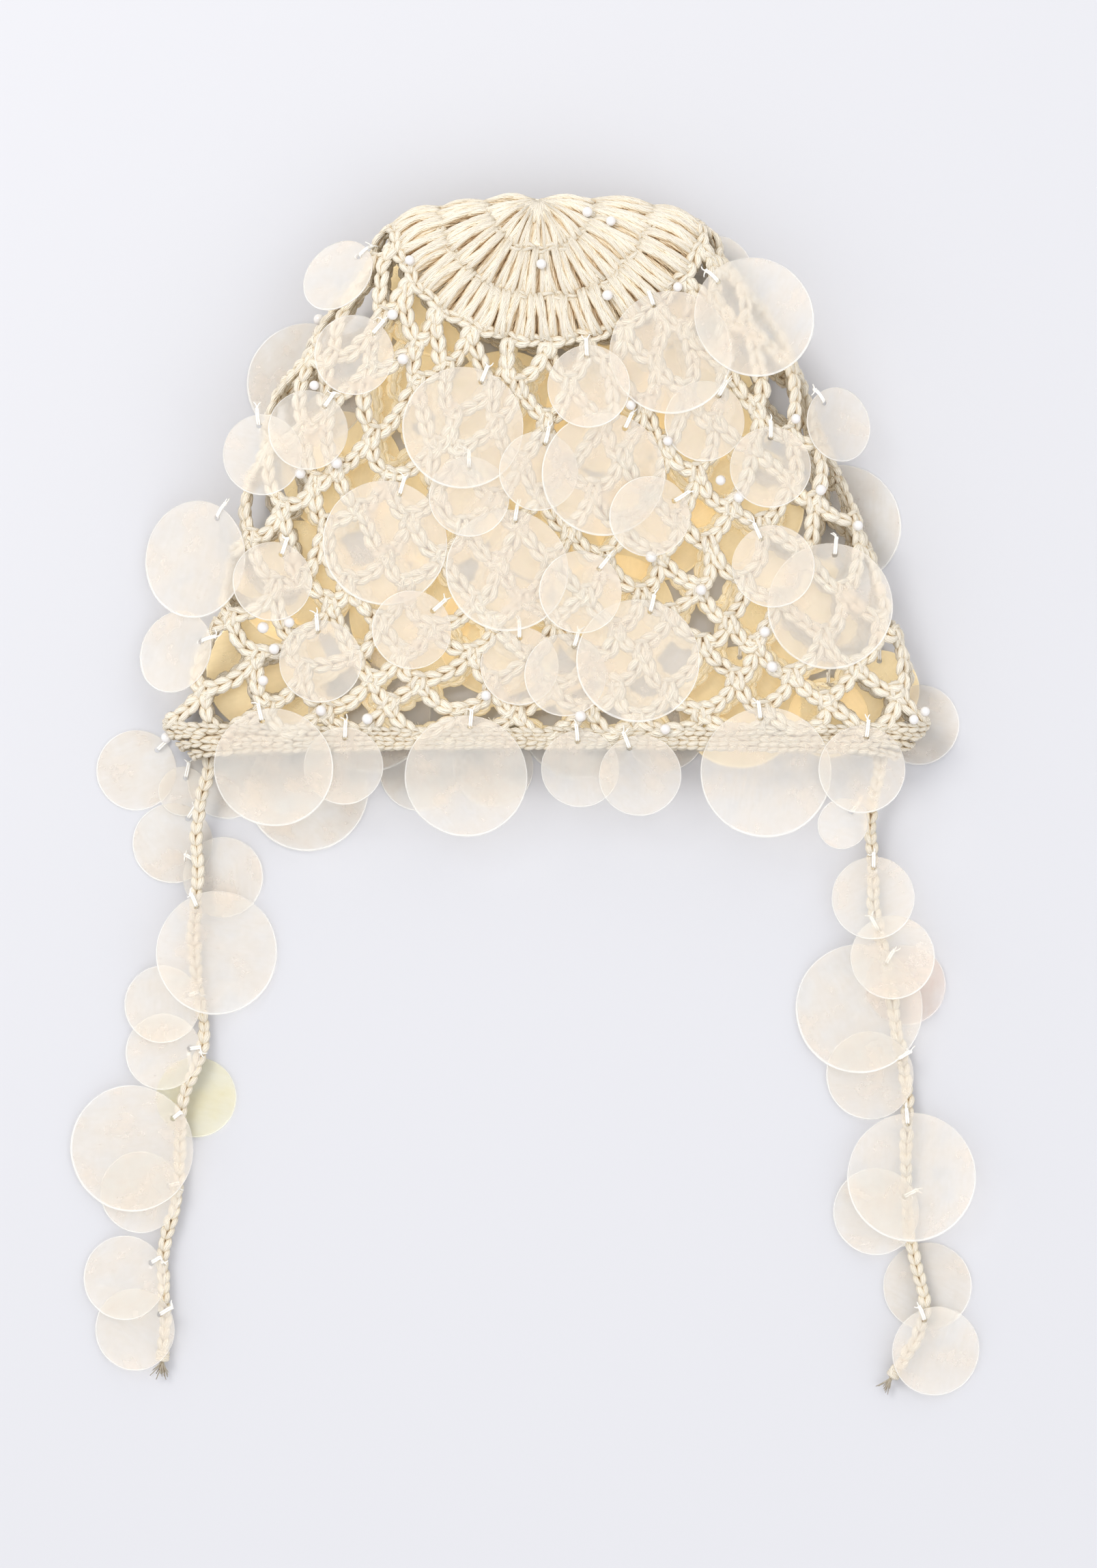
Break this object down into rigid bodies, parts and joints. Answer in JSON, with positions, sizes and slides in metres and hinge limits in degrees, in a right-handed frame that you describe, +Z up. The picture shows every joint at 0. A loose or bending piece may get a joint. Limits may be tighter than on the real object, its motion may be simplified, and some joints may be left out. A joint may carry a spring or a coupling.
{
  "type": "crocheted bonnet with shell discs",
  "caption": "Open crocheted cotton bonnet with a dense round crown, a diamond net, a close brim, two tie cords and pierced translucent shell discs tied all over.",
  "frame": {"origin": "middle of the hat and its discs as it lies on its back, at the surface it lies on", "axes": "+Z up out of the hat's front, +Y towards the crown, +X to the wearer's left as seen in a top view, the right of the view"},
  "size_m": [0.3344, 0.4384, 0.042],
  "materials": {
    "yarn": "matte cream cotton yarn",
    "shell": "polished translucent windowpane shell"
  },
  "bodies": {
    "root": {"crown": "yarn", "net": "yarn", "brim": "yarn", "tie_left": "yarn", "tie_right": "yarn", "back_discs": "shell", "front_disc_01": "shell", "front_disc_02": "shell", "front_disc_03": "shell", "front_disc_04": "shell", "front_disc_05": "shell", "front_disc_06": "shell", "front_disc_07": "shell", "front_disc_08": "shell", "front_disc_09": "shell", "front_disc_10": "shell", "front_disc_11": "shell", "front_disc_12": "shell", "front_disc_13": "shell", "front_disc_14": "shell", "front_disc_15": "shell", "front_disc_16": "shell", "front_disc_17": "shell", "front_disc_18": "shell", "front_disc_19": "shell", "front_disc_20": "shell", "front_disc_21": "shell", "front_disc_22": "shell", "front_disc_23": "shell", "front_disc_24": "shell", "front_disc_25": "shell", "front_disc_26": "shell", "front_disc_27": "shell", "front_disc_28": "shell", "front_disc_29": "shell", "front_disc_30": "shell", "front_disc_31": "shell", "front_disc_32": "shell", "front_disc_33": "shell", "front_disc_34": "shell", "front_disc_35": "shell", "front_disc_36": "shell", "tie_left_disc_1": "shell", "tie_left_disc_2": "shell", "tie_left_disc_3": "shell", "tie_left_disc_4": "shell", "tie_left_disc_5": "shell", "tie_left_disc_6": "shell", "tie_left_disc_7": "shell", "tie_left_disc_8": "shell", "tie_left_disc_9": "shell", "tie_right_disc_1": "shell", "tie_right_disc_2": "shell", "tie_right_disc_3": "shell", "tie_right_disc_4": "shell", "tie_right_disc_5": "shell", "tie_right_disc_6": "shell", "tie_right_disc_7": "shell", "tie_right_disc_8": "shell", "tie_right_disc_9": "shell"}
  },
  "joints": []
}
